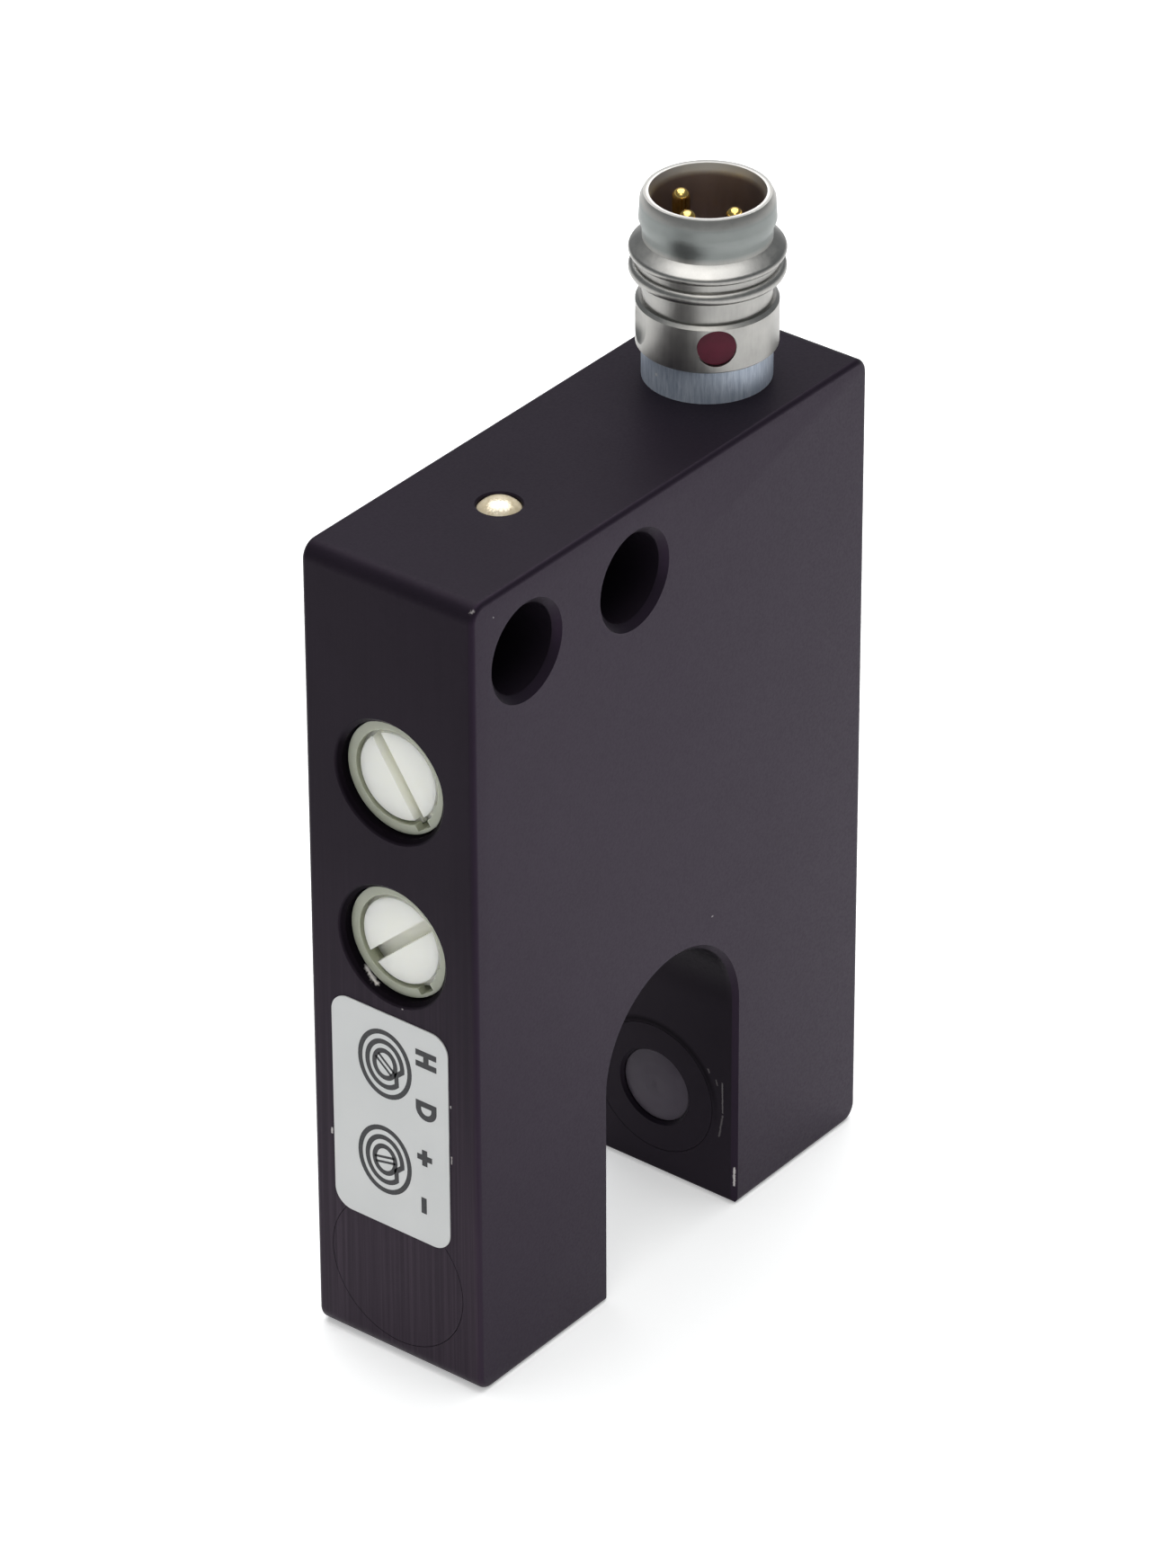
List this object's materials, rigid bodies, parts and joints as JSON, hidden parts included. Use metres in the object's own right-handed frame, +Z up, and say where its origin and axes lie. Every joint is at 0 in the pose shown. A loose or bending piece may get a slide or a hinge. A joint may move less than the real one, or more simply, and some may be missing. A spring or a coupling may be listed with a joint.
{
  "type": "fork sensor",
  "caption": "Optical fork sensor: black aluminium fork with a light beam between its tines, slotted trimmers on one narrow side, through mounting holes and a snap-in pin connector on top.",
  "frame": {"origin": "midway between the two tine ends, in the plane that the fork stands on", "axes": "+Z up from the tine ends to the connector, -Y out of the front face, -X out of the narrow dial face"},
  "size_m": [0.0301, 0.01, 0.0531],
  "materials": {
    "anodised_aluminium": "milled, black anodised, fine satin",
    "holder_plastic": "turned, black, satin",
    "lens_glass": "smoke grey, polished",
    "diode_resin": "cast tinted resin",
    "board_laminate": "green solder mask",
    "chip_resin": "moulded black",
    "chip_ceramic": "fired ceramic",
    "led_resin": "clear warm resin",
    "trimmer_plastic": "moulded, milky grey-green",
    "rotor_plastic": "moulded white",
    "track_laminate": "pressed laminate with carbon track",
    "spring_bronze": "stamped",
    "tinned_metal": "tinned",
    "label_film": "light grey film, satin",
    "window_resin": "clear, domed",
    "bare_aluminium": "turned, bright",
    "seal_rubber": "moulded",
    "nickel_plate": "turned brass, nickel plated",
    "red_paint": "maroon paint",
    "insert_plastic": "moulded black",
    "gilt": "gilt",
    "wire_sleeve": "insulated wire"
  },
  "bodies": {
    "sensor": {"housing": "anodised_aluminium", "rear_cover": "anodised_aluminium", "emitter_plug": "anodised_aluminium", "receiver_plug": "anodised_aluminium", "emitter_holder": "holder_plastic", "receiver_holder": "holder_plastic", "emitter_lens": "lens_glass", "receiver_lens": "lens_glass", "emitter_led": "diode_resin", "receiver_diode": "diode_resin", "circuit_board": "board_laminate", "comparator_chip": "chip_resin", "regulator_chip": "chip_resin", "output_transistor": "chip_resin", "chip_resistors": "chip_resin", "chip_capacitors": "chip_ceramic", "status_led": "led_resin", "upper_case": "trimmer_plastic", "lower_case": "trimmer_plastic", "upper_base": "track_laminate", "lower_base": "track_laminate", "upper_legs": "tinned_metal", "lower_legs": "tinned_metal", "adjuster_label": "label_film", "light_guide": "window_resin", "connector_collar": "bare_aluminium", "collar_seal": "seal_rubber", "connector_shell": "nickel_plate", "index_mark": "red_paint", "contact_insert": "insert_plastic", "contact_pins": "gilt", "connector_wires": "wire_sleeve"},
    "upper_dial": {"upper_rotor": "rotor_plastic", "upper_wiper": "spring_bronze"},
    "lower_dial": {"lower_rotor": "rotor_plastic", "lower_wiper": "spring_bronze"}
  },
  "joints": [
    {"name": "upper_turn", "type": "hinge", "parent": "sensor", "child": "upper_dial", "pos_m": [-0.014, 0, 0.0325], "axis": [1, 0, 0], "range_deg": [-115, 115]},
    {"name": "lower_turn", "type": "hinge", "parent": "sensor", "child": "lower_dial", "pos_m": [-0.014, 0, 0.0235], "axis": [1, 0, 0], "range_deg": [-115, 115]}
  ]
}
